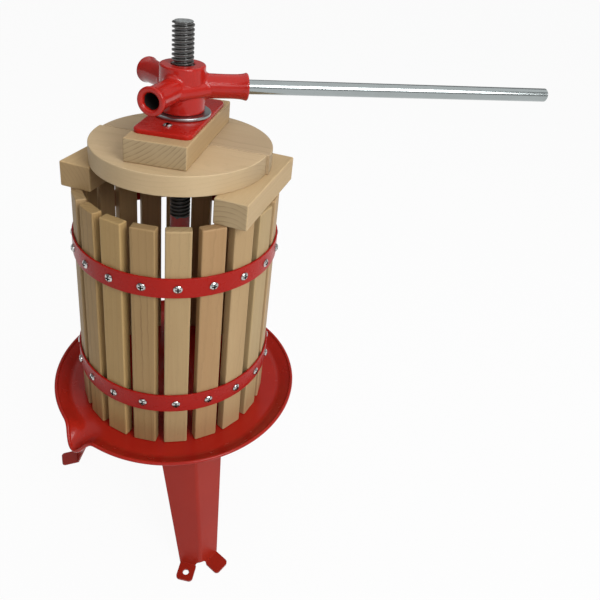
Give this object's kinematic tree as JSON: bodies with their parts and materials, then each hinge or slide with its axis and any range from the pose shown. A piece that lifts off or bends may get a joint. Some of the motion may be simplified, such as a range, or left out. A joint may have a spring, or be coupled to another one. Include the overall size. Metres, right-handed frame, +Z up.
{
  "type": "fruit press",
  "caption": "Basket fruit press: tripod juice tray with a threaded spindle, slatted wooden basket in steel hoops, pressing blocks and a screw-down head with a pull bar.",
  "frame": {"origin": "on the spindle's axis at floor level, the centre of the circle of the three foot holes", "axes": "+Z up along the spindle, the front leg towards -Y, the pouring lip between the front and left legs"},
  "size_m": [0.505, 0.2796, 0.559],
  "materials": {
    "red_paint": "glossy red enamel on sheet steel",
    "head_paint": "thick glossy red enamel on cast iron",
    "spindle_steel": "oiled dark steel thread, red enamel on the lower shank",
    "zinc_plate": "bright zinc plating",
    "screw_steel": "nickel plated",
    "slat_wood": "planed untreated beech",
    "block_wood": "planed untreated beech",
    "disc_wood": "planed untreated beech, glued boards"
  },
  "bodies": {
    "base": {"juice_tray": "red_paint", "front_leg": "red_paint", "right_leg": "red_paint", "left_leg": "red_paint", "spindle": "spindle_steel"},
    "basket": {"slat_01": "slat_wood", "slat_02": "slat_wood", "slat_03": "slat_wood", "slat_04": "slat_wood", "slat_05": "slat_wood", "slat_06": "slat_wood", "slat_07": "slat_wood", "slat_08": "slat_wood", "slat_09": "slat_wood", "slat_10": "slat_wood", "slat_11": "slat_wood", "slat_12": "slat_wood", "slat_13": "slat_wood", "slat_14": "slat_wood", "slat_15": "slat_wood", "slat_16": "slat_wood", "slat_17": "slat_wood", "slat_18": "slat_wood", "slat_19": "slat_wood", "slat_20": "slat_wood", "lower_hoop": "red_paint", "upper_hoop": "red_paint", "lower_hoop_screws": "screw_steel", "upper_hoop_screws": "screw_steel"},
    "left_spacer": {"left_block": "block_wood"},
    "right_spacer": {"right_block": "block_wood"},
    "front_disc": {"front_disc_half": "disc_wood"},
    "back_disc": {"back_disc_half": "disc_wood"},
    "pressure_block": {"pressure_block": "block_wood", "press_plate": "red_paint", "plate_screws": "screw_steel"},
    "washer": {"thrust_washer": "zinc_plate"},
    "head": {"press_head": "head_paint"},
    "bar": {"handle_bar": "zinc_plate"}
  },
  "joints": [
    {"name": "basket_turn", "type": "hinge", "parent": "base", "child": "basket", "pos_m": [0, 0, 0.1585], "axis": [0, 0, 1], "continuous": true},
    {"name": "left_spacer_slide", "type": "slide", "parent": "basket", "child": "left_spacer", "axis": [-0.7683, 0.6401, 0], "range_m": [0, 0.03]},
    {"name": "right_spacer_slide", "type": "slide", "parent": "basket", "child": "right_spacer", "axis": [0.7683, -0.6401, 0], "range_m": [0, 0.03]},
    {"name": "front_disc_slide", "type": "slide", "parent": "basket", "child": "front_disc", "axis": [-0.5878, -0.809, 0], "range_m": [0, 0.03]},
    {"name": "back_disc_slide", "type": "slide", "parent": "basket", "child": "back_disc", "axis": [0.5878, 0.809, 0], "range_m": [0, 0.03]},
    {"name": "block_swivel", "type": "hinge", "parent": "basket", "child": "pressure_block", "pos_m": [0, 0, 0.449], "axis": [0, 0, 1], "continuous": true},
    {"name": "head_lift", "type": "slide", "parent": "base", "child": "washer", "axis": [0, 0, 1], "range_m": [0, 0.0361]},
    {"name": "head_turn", "type": "hinge", "parent": "washer", "child": "head", "pos_m": [0, 0, 0.4785], "axis": [0, 0, 1], "range_deg": [0, 3240]},
    {"name": "bar_slide", "type": "slide", "parent": "head", "child": "bar", "axis": [0.9885, -0.1513, 0], "range_m": [0, 0.03]}
  ],
  "couplings": [
    {"joint": "head_lift", "follows": "head_turn", "m_per_rad": 0.00063662}
  ]
}
